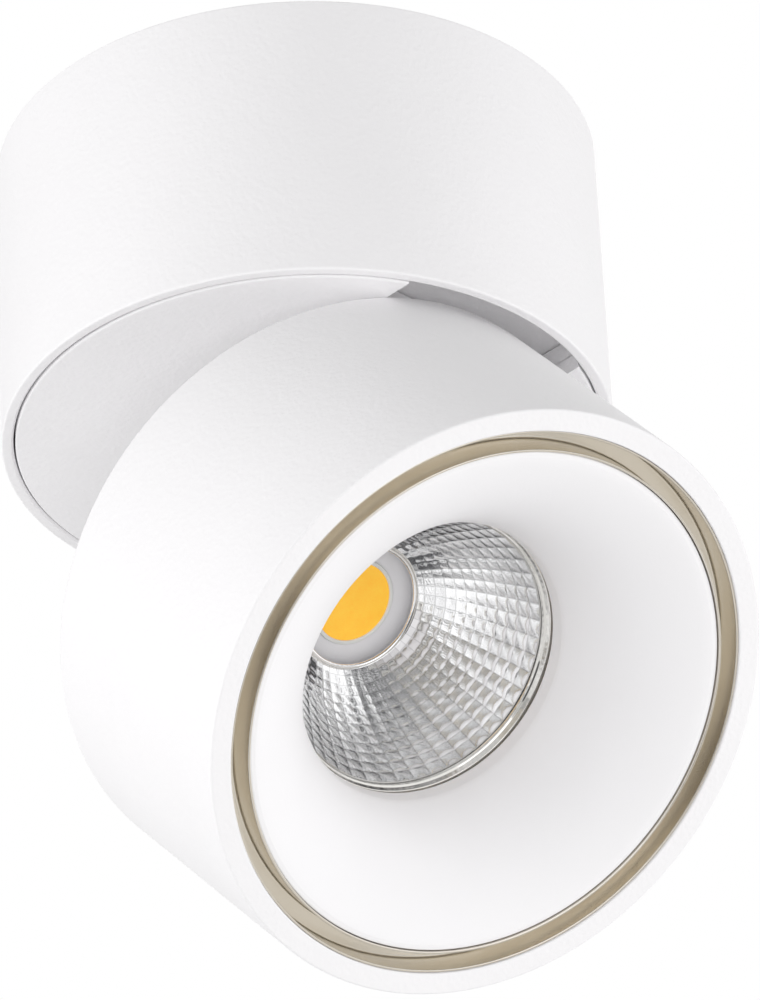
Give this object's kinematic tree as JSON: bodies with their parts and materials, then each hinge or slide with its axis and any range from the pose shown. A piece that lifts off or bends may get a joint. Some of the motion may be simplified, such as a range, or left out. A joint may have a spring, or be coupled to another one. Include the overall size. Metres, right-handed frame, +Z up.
{
  "type": "surface mounted ceiling spotlight",
  "caption": "Round white ceiling spotlight: a drum canopy with a turning disc and a same-size head that folds out on a rim hinge, with a deep white baffle and faceted reflector.",
  "frame": {"origin": "centre of the mounting face on the ceiling, on the canopy's axis", "axes": "+Z up into the ceiling; the head folds out towards -Y; the fixing slots run along X"},
  "size_m": [0.1, 0.1252, 0.1542],
  "materials": {
    "white_coat": "white fine-texture powder coat on cast aluminium",
    "zinc_steel": "bright zinc-plated steel",
    "dark_steel": "blackened steel",
    "black_rubber": "soft matt",
    "grey_plastic": "matt moulded",
    "white_plastic": "white moulded",
    "brass": "plain brass",
    "circuit_board": "green solder mask",
    "yellow_tape": "tape-wound",
    "capacitor_sleeve": "black sleeve",
    "polished_chrome": "mirror-polished",
    "mirror_facets": "vacuum-metallised facets",
    "bare_aluminium": "bare die-cast",
    "grey_silicone": "soft sheet",
    "board_ceramic": "grey-white matt",
    "white_silicone": "white silicone",
    "phosphor": "amber phosphor in clear silicone"
  },
  "bodies": {
    "canopy": {"base_housing": "white_coat", "ceiling_bracket": "zinc_steel", "cable_grommet": "black_rubber", "earth_washer": "zinc_steel", "earth_screw": "brass", "locking_screw": "dark_steel", "driver_case": "white_plastic", "driver_cover": "white_plastic", "driver_board": "circuit_board", "driver_transformer": "yellow_tape", "driver_capacitor": "capacitor_sleeve", "driver_screws": "zinc_steel", "terminal_block": "grey_plastic", "terminal_clamps": "brass", "terminal_screws": "zinc_steel", "terminal_fixing_screws": "zinc_steel", "friction_washer": "grey_plastic"},
    "swivel": {"swivel_plate": "white_coat", "swivel_stud": "zinc_steel", "stud_screws": "zinc_steel", "thrust_washer": "grey_plastic", "lock_nut": "zinc_steel", "stop_pin": "zinc_steel", "hinge_bracket": "white_coat", "bracket_screws": "zinc_steel", "wave_spring": "zinc_steel"},
    "head": {"head_housing": "white_coat", "rear_cover": "white_coat", "rear_cover_screws": "zinc_steel", "lead_grommet": "black_rubber", "hinge_pin": "zinc_steel", "hinge_nut": "zinc_steel", "hinge_washers": "grey_plastic", "heat_sink": "bare_aluminium", "thermal_pad": "grey_silicone", "cob_board": "board_ceramic", "led_dam": "white_silicone", "phosphor_disc": "phosphor", "cob_holder": "white_plastic", "holder_screws": "zinc_steel", "reflector": "mirror_facets", "reflector_ring": "polished_chrome", "glare_cone": "white_coat", "baffle_screws": "zinc_steel", "trim_ring": "polished_chrome"}
  },
  "joints": [
    {"name": "swivel", "type": "hinge", "parent": "canopy", "child": "swivel", "pos_m": [0, 0, -0.05], "axis": [0, 0, 1], "range_deg": [-175, 175]},
    {"name": "head_tilt", "type": "hinge", "parent": "swivel", "child": "head", "pos_m": [0, -0.04127, -0.06275], "axis": [-1, 0, 0], "range_deg": [-41.36, 48.64]}
  ]
}
